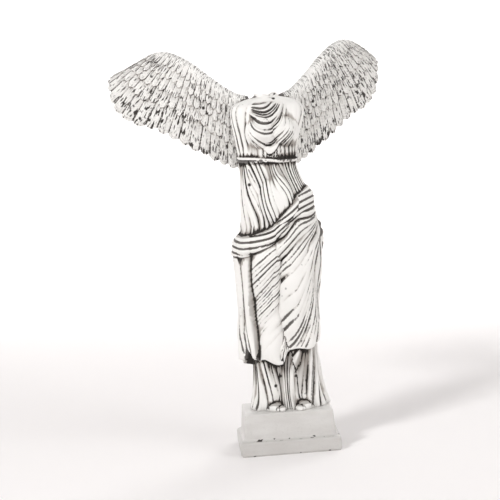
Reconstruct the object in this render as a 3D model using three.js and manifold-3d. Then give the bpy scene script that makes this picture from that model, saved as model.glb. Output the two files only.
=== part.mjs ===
// A headless, armless winged goddess in a belted dress and a wrapped mantle, standing on a two-step plinth.
// Units are millimetres. +Z is up, the figure faces -Y, and the origin is the middle of the underside.
import * as THREE from 'three';
import { SimplifyModifier } from 'three/addons/modifiers/SimplifyModifier.js';
import { mergeVertices } from 'three/addons/utils/BufferGeometryUtils.js';
import Module from 'manifold-3d';

const wasm = await Module();
wasm.setup();

// The plinth is a slab with a narrower block on it, which flares out at its foot; all edges are softened.
const SLAB = { width: 76, depth: 52, height: 11, corner: 3, edge: 1.6 };
const BLOCK = { width: 69, depth: 42, height: 20, corner: 2, edge: 1.0, batter: 1.2 };
const FLARE = { out: 2.6, up: 4.0, steps: 4 };
const PLINTH_TOP = SLAB.height + BLOCK.height;
const CORNER_STEPS = 4;

// The body's levels: height above the plinth, centre x and y, half width, front depth and back depth.
const LEVELS = [
  [0, 1.5, 2.0, 27.0, 12.5, 18.5],
  [14, 1.0, 1.5, 24.0, 10.5, 17.5],
  [42, 0.5, 1.0, 22.0, 10.5, 17],
  [78, 0.0, 0.0, 22.5, 12.0, 16],
  [112, 0.5, 0.0, 25.0, 14.0, 16.5],
  [140, 2.0, 0.0, 26.5, 15.0, 17],
  [163, 0.5, 0.0, 24.0, 13.5, 14],
  [184, -2.5, 0.0, 20.0, 12.0, 11.5],
  [198, -2.0, 0.0, 22.0, 12.5, 12.5],
  [212, -1.0, 0.0, 24.5, 12.5, 13.5],
  [222, 0.0, 0.5, 26.5, 11.5, 14],
  [229, 0.0, 1.0, 25.0, 10.0, 13],
  [233.5, 0.0, 2.0, 18.5, 8.3, 11],
  [236, 0.0, 2.5, 10.5, 7.3, 8.8],
  [239, 0.0, 2.5, 9.0, 6.6, 8],
];
const FIGURE_HEIGHT = LEVELS[LEVELS.length - 1][0];
const SQUARENESS = 2.25;
const BURIED = 3;
const BODY_TRIANGLES = 5050;
const WING_TRIANGLES = 1600;

// Each leg: height above the plinth, x, y and radius, from the ankle up to the hip.
const FREE_LEG = [[0, 13.0, -4.0, 5.5], [30, 12.5, -4.0, 6.5], [80, 10.5, -10, 8.5], [130, 9.0, -4.0, 12]];
const STANDING_LEG = [[0, -9.5, -3.5, 6], [30, -9.5, -3, 7], [80, -10, -4.5, 8.5], [130, -10.5, -2.5, 12.5]];
const LEG_TOP = 150;

// Rounded masses under the cloth: x, height, half width, half height, how far out, and +1 front or -1 back.
const MASSES = [
  [-10.5, 210, 10.5, 11.5, 6.2, 1],
  [10.0, 210, 10.5, 11.5, 6.2, 1],
  [0.5, 160, 14, 18, 4.2, 1],
  [1.5, 84, 9, 40, -4.5, 1],
  [-10.5, 138, 14, 18, 4.5, -1],
  [11.5, 138, 14, 18, 4.5, -1],
  [-13, 218, 10, 17, 3.0, -1],
  [13, 218, 10, 17, 3.0, -1],
  [14, 40, 18, 52, 4.0, -1],
];

// The upper body turns a little towards +X on the hips.
const TURN_DEG = 9;
const TURN_FROM = 95;
const TURN_TO = 190;

const BELT_HEIGHT = 190;
const BELT_RADIUS = 1.5;

// The mantle is rolled round the hips on a slope, and its hem runs round the shins.
const ROLL = { height: 143, slope: 17, lowest: -80, half: 8.5, out: 4.4 };
const HEM = { height: 51, slope: 14, lowest: -40, thickness: 2.2 };
// Ends of the mantle that fall in a zigzag: one over the roll at the -X hip, a smaller one behind the +X hip.
const CASCADES = [
  { at: -84, half: 27, top: 134, bottom: 40, zigzag: 8, out: 8.5, pleats: 2 },
  { at: 118, half: 22, top: 150, bottom: 68, zigzag: 7, out: 6.5, pleats: 2 },
];
// Where the mantle is gathered at the +X hip, and its folds start: degrees and height.
const GATHER = [100, 153];

// The cloth is about this far round the body for each degree.
const MM_PER_DEG = 0.43;

// Each foot: x and y of its middle, heading, and how far its big toe lies to +X of the middle.
const FEET = [[13.5, -13.0, 12, -5.2], [-9.5, -12.6, -8, 5.2]];
const TOE_RADII = [2.7, 2.2, 2.1, 1.9, 1.7];

const WING = {
  root: [13, 9, 234],
  sweep: 30,
  tipHalf: 1.2,
  rowFeathers: [26, 24, 22, 20, 18],
  rowReach: [0.13, 0.27, 0.43, 0.62, 1],
  scallop: [0.045, 0.05, 0.055, 0.06, 0.05],
  stray: [0.025, 0.03, 0.035, 0.035, 0.018],
  lift: 0.9,
  crown: 0.5,
  gap: 0.9,
  bow: 6,
  curl: 5,
};
// Along each wing, root to tip: share, bone out, bone up, feather angle below level, length and bone radius.
const WING_STATIONS = [
  [0.0, 0, -2, 88, 52, 4.8],
  [0.12, 11, 2, 84, 53, 4.8],
  [0.3, 26, 13, 75, 53, 4.6],
  [0.5, 43, 27, 62, 56, 4.2],
  [0.7, 60, 36, 44, 61, 3.8],
  [0.85, 72, 37.5, 28, 46, 3.2],
  [1.0, 83, 32, 18, 25, 2.4],
];

const range = (n) => Array.from({ length: n }, (_, i) => i);
const clamp01 = (v) => Math.min(1, Math.max(0, v));
const mix = (a, b, t) => a + (b - a) * t;
const ramp = (from, to, v) => {
  const t = clamp01((v - from) / (to - from));
  return t * t * (3 - 2 * t);
};
const radians = THREE.MathUtils.degToRad;
const wrapped = (deg) => deg - 360 * Math.round(deg / 360);
const wave = (deg) => Math.sin(radians(deg));
const scatter = (i, k) => {
  const s = Math.sin(i * 12.9898 + k * 78.233) * 43758.5453;
  return 2 * (s - Math.floor(s)) - 1;
};

// Smooth values between rows of a table whose first column is the place.
function along(table, place) {
  const last = table.length - 1;
  const p = Math.min(table[last][0], Math.max(table[0][0], place));
  let i = 0;
  while (i < last - 1 && p > table[i + 1][0]) i += 1;
  const slope = (k, c) => {
    const lo = Math.max(0, k - 1);
    const hi = Math.min(last, k + 1);
    return (table[hi][c] - table[lo][c]) / (table[hi][0] - table[lo][0]);
  };
  const span = table[i + 1][0] - table[i][0];
  const t = (p - table[i][0]) / span;
  const values = [];
  for (let c = 1; c < table[i].length; c += 1) {
    const [a, b] = [table[i][c], table[i + 1][c]];
    const [ma, mb] = [slope(i, c) * span, slope(i + 1, c) * span];
    const [t2, t3] = [t * t, t * t * t];
    values.push((2 * t3 - 3 * t2 + 1) * a + (t3 - 2 * t2 + t) * ma + (3 * t2 - 2 * t3) * b + (t3 - t2) * mb);
  }
  return values;
}

const rollAt = (deg) => ROLL.height - ROLL.slope * Math.cos(radians(deg - ROLL.lowest));
function hemAt(deg) {
  const level = HEM.height - HEM.slope * Math.cos(radians(deg - HEM.lowest));
  return level + 2.2 * wave(5 * deg) + wave(13 * deg);
}
const beltAt = (deg) => BELT_HEIGHT - 2.2 * wave(deg + 20);

function smoothMax(a, b, blend) {
  const d = clamp01(0.5 + (0.5 * (a - b)) / blend);
  return mix(b, a, d) + blend * d * (1 - d);
}

// How far the cloth over one leg stands from the body's axis, in the direction (ux, uy).
function legReach(leg, height, cx, cy, ux, uy) {
  const [lx, ly, r] = along(leg, height);
  const ahead = (lx - cx) * ux + (ly - cy) * uy;
  const aside = Math.hypot(lx - cx, ly - cy) ** 2 - ahead * ahead;
  const miss = Math.sqrt(Math.max(0, aside));
  if (ahead < 0) return 0;
  return miss < r ? ahead + Math.sqrt(r * r - aside) : ahead - 1.5 * (miss - r);
}

// The body under its folds: a point at an angle round from the front and a height above the plinth.
function bodyForm(deg, height) {
  const [cx, cy, half, front, back] = along(LEVELS, height);
  const [ux, uy] = [Math.sin(radians(deg)), -Math.cos(radians(deg))];
  const depth = uy < 0 ? front : back;
  const sum = Math.abs(ux / half) ** SQUARENESS + Math.abs(uy / depth) ** SQUARENESS;
  let reach = sum ** (-1 / SQUARENESS);
  const legs = 1 - ramp(LEG_TOP - 30, LEG_TOP, height);
  for (const leg of [FREE_LEG, STANDING_LEG]) {
    const covered = legReach(leg, height, cx, cy, ux, uy) + 1.2;
    reach = mix(reach, smoothMax(reach, covered, 4), legs);
  }
  const x = cx + reach * ux;
  for (const [mx, mz, wide, tall, out, side] of MASSES) {
    if (side * uy > 0) continue;
    const d2 = ((x - mx) / wide) ** 2 + ((height - mz) / tall) ** 2;
    if (d2 < 1) reach += out * (1 - d2) ** 1.5 * Math.min(1, 2.5 * Math.abs(uy));
  }
  return new THREE.Vector3(cx + reach * ux, cy + reach * uy, height);
}

// Folds along the lines where phase is a whole number: sharp valleys there, and rounded crests between. Some
// folds stand higher than others, and each valley runs deep and shallow by turns. The solid carries every
// other line of the finest folds.
function ridges(phase, deg, height, seed, most, count = 1000) {
  const here = phase(deg, height);
  const across = (phase(deg + 0.5, height) - here) / (0.5 * MM_PER_DEG);
  const upward = (phase(deg, height + 0.3) - here) / 0.3;
  const width = 1 / Math.hypot(across, upward);
  const fold = THREE.MathUtils.euclideanModulo(Math.floor(here), count);
  const valley = THREE.MathUtils.euclideanModulo(Math.round(here), count);
  const top = 0.72 + 0.28 * scatter(fold, seed);
  const turns = 0.45 * wave(6 * height + 2 * deg + 137 * valley);
  const bottom = 0.55 * clamp01(0.4 + 0.5 * scatter(valley, seed + 20) + turns);
  return Math.min(most, 0.52 * width) * mix(bottom, top, Math.abs(Math.sin(Math.PI * here)) ** 0.85);
}

// Pleats of the dress below the mantle.
function skirtPhase(deg, height) {
  const flow = 3 * wave(4 * height + 2 * deg) + 6 * wave(2 * deg + 40) * ramp(60, 0, height);
  return (22 * (deg + flow + 5 * wave(5 * deg + 80) + 2.5 * wave(8 * deg))) / 360;
}

// Folds that spread from the gathered cloth at the +X hip, and sag on their way round the legs.
function fanPhase(deg, height) {
  const out = (GATHER[0] - deg) * MM_PER_DEG;
  const sag = 0.003 * out * out + 5 * wave(1.6 * out);
  const angle = Math.atan2(GATHER[1] - height - sag, Math.max(out, 0.5) + 3) / radians(1);
  return angle / 6.6 + 0.25 * wave(13 * angle + 150) + 0.008 * out * wave(9 * angle + 40);
}

// The broad swells of the cloth that those folds lie on.
const swellPhase = (deg, height) => fanPhase(deg, height) / 3 + 0.4;

// Folds that hang between the hips behind.
function swagPhase(deg, height) {
  const off = wrapped(deg - 188) / 104;
  const drop = (154 - height) / Math.max(0.32, 1 - off * off);
  return drop / 14 + 0.15 * wave(19 * drop);
}

// Straight falls of the mantle at the sides.
const fallPhase = (deg, height) => (15 * (deg + 3 * wave(7 * deg) + 3 * wave(3 * height + 2 * deg))) / 360;

// Folds from the belt down to the roll, which lean towards +X and part round the belly.
function waistPhase(deg, height) {
  const fall = clamp01((BELT_HEIGHT - height) / 50);
  const part = 15 * Math.tanh(deg / 11) * Math.exp(-(((height - 162) / 17) ** 2) - (deg / 40) ** 2);
  const lean = fall * (24 + 9 * wave(deg + 60)) + 9 * wave(180 * fall) * wave(2 * deg + 130);
  return (19 * (deg - part - lean + 3.5 * wave(5 * deg + 20) + 2 * wave(9 * deg))) / 360;
}

// Folds that hang in curves between the shoulders.
function bodicePhase(deg, height) {
  const off = (deg + 3 + 0.25 * (height - 212)) / 74;
  const drop = (236 - height + 3.5 * wave(1.3 * deg)) / Math.max(0.15, 1 - off * off);
  return drop / 6 + 0.16 * wave(32 * drop) + 0.1 * wave(3 * deg + 40);
}

// Upright folds at the sides and back of the bodice, and short gathers over the belt.
function sidePhase(deg, height) {
  return (deg + 5 * wave(3 * deg) + 4 * wave(4 * (height - BELT_HEIGHT) + deg)) / 20;
}
const gatherPhase = (deg) => (18 * (deg + 3 * wave(5 * deg + 30))) / 360;

// Strands twisted along the roll of the mantle.
function rollHeight(deg, height) {
  const off = (height - rollAt(deg)) / ROLL.half;
  if (Math.abs(off) >= 1) return 0;
  const strands = Math.abs(Math.cos(Math.PI * (2 * off + deg / 55)));
  return (ROLL.out + 1.5 * strands ** 0.7) * Math.sqrt(1 - off * off);
}

// An end of the mantle that falls in pleats, with a zigzag edge.
function cascadeHeight(c, deg, height) {
  const off = wrapped(deg - c.at) / c.half;
  if (Math.abs(off) >= 1) return 0;
  const phase = off * c.pleats * 0.5 + 0.25 + 0.06 * wave(6 * height);
  const saw = Math.abs(phase - Math.round(phase)) * 2;
  const bottom = c.bottom + c.zigzag * (2 * saw - 1) + 10 * Math.abs(off);
  const edge = ramp(bottom - 1.2, bottom + 1.2, height) * ramp(c.top + 4, c.top - 6, height);
  const spread = mix(1, 0.7, ramp(c.bottom, c.top, height));
  return edge * (1 - off ** 4) * c.out * (1 - 0.5 * saw) * spread;
}

function beltHeight(deg, height) {
  const d = (height - beltAt(deg)) / (BELT_RADIUS + 0.4);
  return Math.abs(d) < 1 ? 2.2 * Math.sqrt(1 - d * d) : 0;
}

// The same place, moved a little, so that no line of the cloth runs quite true.
function stirred(deg, height) {
  return [
    deg + 2.2 * wave(3 * deg + 2.9 * height + 40) + 1.3 * wave(5 * deg - 4.3 * height + 100),
    height + 1.6 * wave(4 * deg + 3.1 * height + 10) + 0.9 * wave(7 * deg - 2.3 * height),
  ];
}

function spot(deg, height, at, level, wide, tall) {
  return Math.exp(-((wrapped(deg - at) / wide) ** 2) - ((height - level) / tall) ** 2);
}

// Pleats of the dress below the mantle, pushed back above the feet.
function skirt(deg, height, d, h) {
  const feet = spot(deg, height, 37.5, 0, 14, 7) + spot(deg, height, -36, 0, 13, 7);
  return 1.25 * ridges(skirtPhase, d, h, 3, mix(5.5, 4, height / 50), 22) * (1 - 0.6 * feet) - 3.5 * feet;
}

// A fan of folds over the legs, swags behind and straight falls at the sides, flatter on the thigh and knee.
function mantle(deg, height, d, h) {
  const turn = wrapped(deg);
  const folds = 0.85 * ridges(fanPhase, wrapped(d), h, 5, 5) + 0.85 * ridges(swellPhase, wrapped(d), h, 6, 6);
  const fan = folds * ramp(112, 96, turn) * ramp(-68, -42, turn);
  const swags = ridges(swagPhase, d, h, 7, 4) * Math.max(ramp(92, 116, turn), ramp(-78, -104, turn));
  const falls = ridges(fallPhase, d, h, 9, 3.2, 15) * ramp(78, 58, height)
    * Math.max(ramp(70, 100, turn), ramp(-40, -70, turn));
  const leg = 1 - 0.6 * spot(deg, height, 36, 104, 15, 20) - 0.5 * spot(deg, height, 38, 76, 11, 10);
  return HEM.thickness + leg * ramp(-2, 14, rollAt(deg) - height) * Math.max(fan, swags, falls);
}

function waist(deg, height, d, h) {
  return ridges(waistPhase, d, h, 11, 2.6, 19) * (1 - 0.75 * spot(deg, height, 0, 160, 17, 12));
}

// Curved folds across the breast, upright ones at the sides and back, and gathers over the belt.
function bodice(deg, height, d, h) {
  const turn = wrapped(deg);
  const breasts = 1 - 0.4 * (spot(deg, height, -37, 213, 12, 6) + spot(deg, height, 40, 213, 12, 6));
  const front = ramp(74, 52, Math.abs(turn + 3)) * ramp(233, 229, height);
  const hung = 1.3 * ridges(bodicePhase, turn, height, 13, 2.3) * front;
  const sides = ridges(sidePhase, d, h, 15, 1.9, 18) * ramp(46, 72, Math.abs(turn));
  const gathers = ridges(gatherPhase, d, h, 17, 1.7, 18) * ramp(206, 194, height);
  return Math.max(hung * breasts, sides, gathers) * ramp(234, 229, height);
}

// How far the carving stands out from the body's form.
function carving(deg, height) {
  const [d, h] = stirred(deg, height);
  const [roll, hem] = [rollAt(deg), hemAt(deg)];
  const wrap = ramp(hem - 0.7, hem + 0.7, height) * ramp(roll + 4, roll, height);
  let out = wrap > 0 ? wrap * mantle(deg, height, d, h) : 0;
  if (height < hem + 2) out += (1 - wrap) * skirt(deg, height, d, h);
  if (height > roll - 4 && height < BELT_HEIGHT) out += waist(deg, height, d, h);
  if (height >= BELT_HEIGHT - 2) out += bodice(deg, height, d, h);
  out = Math.max(out, rollHeight(deg, height), beltHeight(deg, height));
  CASCADES.forEach((c) => {
    out += cascadeHeight(c, deg, height) * (1 - 0.5 * ramp(roll - 8, roll, height));
  });
  return out;
}

function turned(point, height) {
  const angle = radians(TURN_DEG) * ramp(TURN_FROM, TURN_TO, height);
  return point.applyAxisAngle(new THREE.Vector3(0, 0, 1), angle);
}

// How far the ragged edge of the broken neck lies below its highest point.
function neckLoss(deg, height) {
  return ramp(234, FIGURE_HEIGHT, height) * (1.7 + wave(2 * deg + 30) + 0.7 * wave(5 * deg));
}

// The carved surface of the body, in place on the plinth.
function bodyPoint(deg, height) {
  const [dDeg, dHeight] = [1.5, 0.8];
  const here = bodyForm(deg, height);
  const round = bodyForm(deg + dDeg, height).sub(bodyForm(deg - dDeg, height));
  const up = bodyForm(deg, Math.min(FIGURE_HEIGHT, height + dHeight)).sub(bodyForm(deg, height - dHeight));
  const normal = round.cross(up);
  normal.z *= ramp(4, 30, height);
  here.addScaledVector(normal.normalize(), carving(deg, height));
  turned(here, height);
  here.z += PLINTH_TOP - neckLoss(deg, height);
  return here;
}

// A closed solid through rings of points, from the first ring to the last, with flat ends.
function loft(rings) {
  const n = rings[0].length;
  const positions = rings.flat().flatMap((p) => [p.x, p.y, p.z]);
  const index = [];
  for (let r = 0; r + 1 < rings.length; r += 1) {
    for (let i = 0; i < n; i += 1) {
      const j = (i + 1) % n;
      const [a, b, c, d] = [rings[r][i], rings[r][j], rings[r + 1][j], rings[r + 1][i]];
      const [ia, ib, ic, id] = [r * n + i, r * n + j, (r + 1) * n + j, (r + 1) * n + i];
      if (a.distanceTo(c) <= b.distanceTo(d)) index.push(ia, ib, ic, ia, ic, id);
      else index.push(ia, ib, id, ib, ic, id);
    }
  }
  [0, rings.length - 1].forEach((r) => {
    const middle = rings[r].reduce((sum, p) => sum.add(p), new THREE.Vector3()).divideScalar(n);
    const hub = positions.length / 3;
    positions.push(middle.x, middle.y, middle.z);
    for (let i = 0; i < n; i += 1) {
      const [a, b] = [r * n + i, r * n + ((i + 1) % n)];
      if (r === 0) index.push(hub, b, a);
      else index.push(hub, a, b);
    }
  });
  const corner = (i) => new THREE.Vector3(...positions.slice(3 * i, 3 * i + 3));
  let volume = 0;
  for (let i = 0; i < index.length; i += 3) {
    volume += corner(index[i]).dot(corner(index[i + 1]).cross(corner(index[i + 2])));
  }
  if (volume < 0) index.reverse();
  const geometry = new THREE.BufferGeometry();
  geometry.setAttribute('position', new THREE.Float32BufferAttribute(positions, 3));
  geometry.setIndex(index);
  return geometry;
}

function bare(geometry) {
  const copy = geometry.clone();
  copy.deleteAttribute('normal');
  copy.deleteAttribute('uv');
  return copy;
}

function toSolid(geometry) {
  const merged = mergeVertices(bare(geometry), 1e-4);
  return new wasm.Manifold(new wasm.Mesh({
    numProp: 3,
    vertProperties: Float32Array.from(merged.attributes.position.array),
    triVerts: Uint32Array.from(merged.index.array),
  }));
}

function toGeometry(solid) {
  const mesh = solid.getMesh();
  const geometry = new THREE.BufferGeometry();
  geometry.setAttribute('position', new THREE.BufferAttribute(mesh.vertProperties, 3));
  geometry.setIndex(new THREE.BufferAttribute(mesh.triVerts, 1));
  geometry.computeVertexNormals();
  return geometry;
}

// The same surface with fewer, larger faces, small only where the carving needs them.
async function eased(geometry, triangles) {
  const { count } = geometry.attributes.position;
  const spare = Math.round(count * (1 - (3 * triangles) / geometry.index.count));
  return toSolid(await new SimplifyModifier().modify(geometry, spare));
}

// The carved body, from a little below the plinth's top up to the neck.
function body() {
  const [columns, rows] = [210, 270];
  const angles = range(columns).map((i) => -180 + (360 * i) / columns).map((even) => even - 14 * wave(even));
  const rings = range(rows + 1).map((row) => {
    const height = mix(-BURIED, FIGURE_HEIGHT, row / rows);
    return angles.map((deg) => bodyPoint(deg, height));
  });
  return eased(loft(rings), BODY_TRIANGLES);
}

// Each row of feathers at one column: the place across its feather, and where it ends on the column's length.
function feathers(share) {
  return WING.rowReach.map((reach, row) => {
    const place = share * WING.rowFeathers[row];
    const number = Math.round(place);
    const across = place - number;
    const stray = WING.stray[row] * scatter(number, 40 + row);
    const end = reach - WING.scallop[row] * Math.abs(2 * across) ** 1.8 + stray;
    return { across, number, end: Math.min(end, 1) };
  });
}

// How far the feathers stand out at share s of a column's length.
function featherRelief(rows, s) {
  const last = rows.length - 1;
  let row = 0;
  while (row < last && s > rows[row].end) row += 1;
  const begin = row ? rows[row - 1].end : 0;
  const { across, number, end } = rows[row];
  const grown = clamp01((s - begin) / (end - begin));
  const crown = WING.crown * (1 - (2 * across) ** 2) * mix(0.35, 1, grown);
  const raised = row < last ? WING.lift * (0.75 + 0.35 * scatter(number, 60 + row)) : 0.1;
  const depth = WING.gap * (0.7 + 0.5 * scatter(number, 50 + row)) * mix(0.25, 1, grown);
  const gap = depth * Math.exp(-(((0.5 - Math.abs(across)) / 0.07) ** 2));
  return crown + raised * grown ** 1.5 + 0.25 * across * grown - gap;
}

// One cross-section of a wing: up its front from the feather tips, round the bone and down its back.
function wingRing(side, share, steps) {
  const [out, up, angle, length, bone] = along(WING_STATIONS, share);
  const [rootX, rootY, rootZ] = WING.root;
  const sweep = radians(WING.sweep);
  const outward = new THREE.Vector3(side * Math.cos(sweep), Math.sin(sweep), 0);
  const front = new THREE.Vector3(side * Math.sin(sweep), -Math.cos(sweep), 0);
  const [dx, dy] = [Math.cos(radians(angle)), -Math.sin(radians(angle))];
  const place = (s, thick) => {
    const [u, w] = [out + dx * s * length, up + dy * s * length];
    const bow = WING.bow * Math.sin((Math.PI * u) / 115) - WING.curl * s * s;
    const point = new THREE.Vector3(side * rootX, rootY, rootZ + w).addScaledVector(outward, u)
      .addScaledVector(front, bow + thick);
    turned(point, TURN_TO);
    point.z += PLINTH_TOP;
    return point;
  };
  const rows = feathers(share);
  const half = (s) => mix(bone, WING.tipHalf, ramp(-0.15, 0.75, s)) + featherRelief(rows, s);
  const shares = range(steps + 1).map((i) => (i / steps) * rows[rows.length - 1].end);
  const over = range(5).map((i) => Math.PI * ((i + 1) / 6))
    .map((a) => place((-bone * Math.sin(a)) / length, half(0) * Math.cos(a)));
  return [
    ...[...shares].reverse().map((s) => place(s, half(s))),
    ...over,
    ...shares.map((s) => place(s, -half(s))),
  ];
}

function wing(side) {
  const [columns, steps] = [180, 80];
  const rings = range(columns + 1).map((column) => wingRing(side, column / columns, steps));
  return eased(loft(rings), WING_TRIANGLES);
}

// The front of a foot, with its toes, showing under the dress.
function foot([x, y, heading, bigToe]) {
  const shapes = TOE_RADII.map((radius, i) => {
    const toe = new THREE.SphereGeometry(radius, 7, 5);
    toe.scale(1, 1.6, 0.9);
    return toe.translate(bigToe * (1 - 0.5 * i), 0.22 * i * i - 1, radius * 0.55);
  });
  const arch = new THREE.SphereGeometry(6.6, 12, 7);
  arch.scale(1, 1.5, 0.85);
  shapes.push(arch.translate(0, 6.5, 1.5));
  return shapes.map((g) => toSolid(g.rotateZ(radians(heading)).translate(x, y, PLINTH_TOP)));
}

async function figure() {
  let solid = await body();
  const others = [await wing(1), await wing(-1), ...FEET.flatMap(foot)];
  others.forEach((other) => { solid = solid.add(other); });
  const below = new THREE.BoxGeometry(200, 200, 60);
  below.translate(0, 0, PLINTH_TOP - 30);
  return toGeometry(solid.subtract(toSolid(below)));
}

// A rectangle with rounded corners at one height, as a ring of points.
function roundedRing(width, depth, corner, z) {
  const ring = [];
  [[1, 1, 0], [-1, 1, 90], [-1, -1, 180], [1, -1, 270]].forEach(([sx, sy, start]) => {
    for (let k = 0; k <= CORNER_STEPS; k += 1) {
      const a = radians(start + (90 * k) / CORNER_STEPS);
      const [cx, cy] = [sx * (width / 2 - corner), sy * (depth / 2 - corner)];
      ring.push(new THREE.Vector3(cx + corner * Math.cos(a), cy + corner * Math.sin(a), z));
    }
  });
  return ring;
}

function plinth() {
  const inset = (s, by, z) => {
    const corner = Math.max(0.6, s.corner - by);
    return roundedRing(s.width - 2 * by, s.depth - 2 * by, corner, z);
  };
  const soft = 0.3;
  const flare = range(FLARE.steps + 1).map((k) => {
    const a = radians((90 * k) / FLARE.steps);
    return inset(BLOCK, -FLARE.out * (1 - Math.sin(a)), SLAB.height + FLARE.up * (1 - Math.cos(a)));
  });
  const rings = [
    inset(SLAB, SLAB.edge * 0.6, 0),
    inset(SLAB, 0, SLAB.edge * 0.8),
    inset(SLAB, 0, SLAB.height - SLAB.edge),
    inset(SLAB, SLAB.edge * soft, SLAB.height - SLAB.edge * soft),
    inset(SLAB, SLAB.edge, SLAB.height),
    ...flare,
    inset(BLOCK, BLOCK.batter, PLINTH_TOP - BLOCK.edge),
    inset(BLOCK, BLOCK.batter + BLOCK.edge * soft, PLINTH_TOP - BLOCK.edge * soft),
    inset(BLOCK, BLOCK.batter + BLOCK.edge, PLINTH_TOP),
  ];
  return toGeometry(toSolid(loft(rings)));
}

function piece(name, geometry, colour, roughness) {
  const finish = new THREE.MeshStandardMaterial({ color: colour, roughness, metalness: 0 });
  const mesh = new THREE.Mesh(geometry, finish);
  mesh.name = name;
  return mesh;
}

const statue = new THREE.Group();
statue.add(piece('winged_figure', await figure(), 0xeeebe6, 0.6));
statue.add(piece('stepped_plinth', plinth(), 0xd9d8d5, 0.5));

export default statue;
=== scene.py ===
# The looks of a headless winged goddess statuette: the carved figure, its antiqued finish with painted
# shade in the hollows, the plinth's finish, a pale floor, soft studio light and a camera at the
# photograph's angle. Forms are in millimetres.
import math

import bmesh
import bpy
import numpy as np
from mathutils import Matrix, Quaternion, Vector


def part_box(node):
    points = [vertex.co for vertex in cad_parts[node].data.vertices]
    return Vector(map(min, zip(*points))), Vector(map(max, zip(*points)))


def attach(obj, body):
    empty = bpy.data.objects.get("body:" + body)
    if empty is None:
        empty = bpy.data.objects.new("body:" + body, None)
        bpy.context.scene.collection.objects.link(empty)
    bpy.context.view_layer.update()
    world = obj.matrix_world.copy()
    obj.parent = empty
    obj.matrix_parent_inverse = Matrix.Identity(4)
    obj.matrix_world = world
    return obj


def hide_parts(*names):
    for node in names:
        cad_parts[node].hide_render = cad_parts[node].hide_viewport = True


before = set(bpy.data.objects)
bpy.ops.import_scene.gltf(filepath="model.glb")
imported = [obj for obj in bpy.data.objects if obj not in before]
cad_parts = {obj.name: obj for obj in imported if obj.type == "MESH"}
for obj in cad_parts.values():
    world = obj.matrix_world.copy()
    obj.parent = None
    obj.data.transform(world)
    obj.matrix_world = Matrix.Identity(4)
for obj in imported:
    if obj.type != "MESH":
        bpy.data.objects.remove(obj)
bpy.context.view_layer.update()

MM = 0.001
PLINTH_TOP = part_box("stepped_plinth")[1].z / MM

# The body's levels: height above the plinth, centre x and y, half width, front depth and back depth.
LEVELS = [
    [0, 1.5, 2.0, 27.0, 12.5, 18.5],
    [14, 1.0, 1.5, 24.0, 10.5, 17.5],
    [42, 0.5, 1.0, 22.0, 10.5, 17],
    [78, 0.0, 0.0, 22.5, 12.0, 16],
    [112, 0.5, 0.0, 25.0, 14.0, 16.5],
    [140, 2.0, 0.0, 26.5, 15.0, 17],
    [163, 0.5, 0.0, 24.0, 13.5, 14],
    [184, -2.5, 0.0, 20.0, 12.0, 11.5],
    [198, -2.0, 0.0, 22.0, 12.5, 12.5],
    [212, -1.0, 0.0, 24.5, 12.5, 13.5],
    [222, 0.0, 0.5, 26.5, 11.5, 14],
    [229, 0.0, 1.0, 25.0, 10.0, 13],
    [233.5, 0.0, 2.0, 18.5, 8.3, 11],
    [236, 0.0, 2.5, 10.5, 7.3, 8.8],
    [239, 0.0, 2.5, 9.0, 6.6, 8],
]
FIGURE_HEIGHT = LEVELS[-1][0]
SQUARENESS = 2.25
# Each leg: height above the plinth, x, y and radius, from the ankle up to the hip.
FREE_LEG = [[0, 13.0, -4.0, 5.5], [30, 12.5, -4.0, 6.5], [80, 10.5, -10.0, 8.5], [130, 9.0, -4.0, 12]]
STANDING_LEG = [[0, -9.5, -3.5, 6], [30, -9.5, -3.0, 7], [80, -10, -4.5, 8.5], [130, -10.5, -2.5, 12.5]]
LEG_TOP = 150
# Rounded masses under the cloth: x, height, half width, half height, how far out, and +1 front or -1 back.
MASSES = [
    [-10.5, 210, 10.5, 11.5, 6.2, 1],
    [10.0, 210, 10.5, 11.5, 6.2, 1],
    [0.5, 160, 14, 18, 4.2, 1],
    [1.5, 84, 9, 40, -4.5, 1],
    [-10.5, 138, 14, 18, 4.5, -1],
    [11.5, 138, 14, 18, 4.5, -1],
    [-13, 218, 10, 17, 3.0, -1],
    [13, 218, 10, 17, 3.0, -1],
    [14, 40, 18, 52, 4.0, -1],
]
TURN_DEG, TURN_FROM, TURN_TO = 9, 95, 190
BELT_HEIGHT, BELT_RADIUS = 190, 1.5
# The mantle is rolled round the hips on a slope, and its hem runs round the shins.
ROLL = dict(height=143, slope=17, lowest=-80, half=8.5, out=4.4)
HEM = dict(height=51, slope=14, lowest=-40, thickness=2.2)
# Ends of the mantle that fall in a zigzag: one over the roll at -X, a smaller one behind the hip at +X.
CASCADES = [
    dict(at=-84, half=27, top=134, bottom=40, zigzag=8, out=8.5, pleats=2),
    dict(at=118, half=22, top=150, bottom=68, zigzag=7, out=6.5, pleats=2),
]
# Where the mantle is gathered at the hip at +X, and its folds start: degrees round the body and height.
GATHER = (100, 153)
# The cloth is about this far round the body for each degree.
MM_PER_DEG = 0.43
# Where the folds of that fan part in three: the middle of the fan, and the distances it sets in over.
PARTING = dict(deg=96, height=150, starts=34, done=66)
# How many folds would go right round the body, of each kind, and how many degrees lie between side folds.
PLEATS, FALLS, WAIST_FOLDS, GATHERS, SIDE_STEP = 22, 30, 38, 36, 10
# Each foot: x and y of its middle, heading, and how far its big toe lies to +X of the middle.
FEET = [(13.5, -13.0, 12, -5.2), (-9.5, -12.6, -8, 5.2)]
TOE_RADII, TOE_STRETCH = [2.7, 2.2, 2.1, 1.9, 1.7], (1, 1.6, 0.9)
INSTEP = dict(radius=6.6, stretch=(1, 1.5, 0.85), place=(0, 6.5, 1.5))
# How far the body runs on below the plinth's top, where it is cut off.
BURIED = 3
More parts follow.
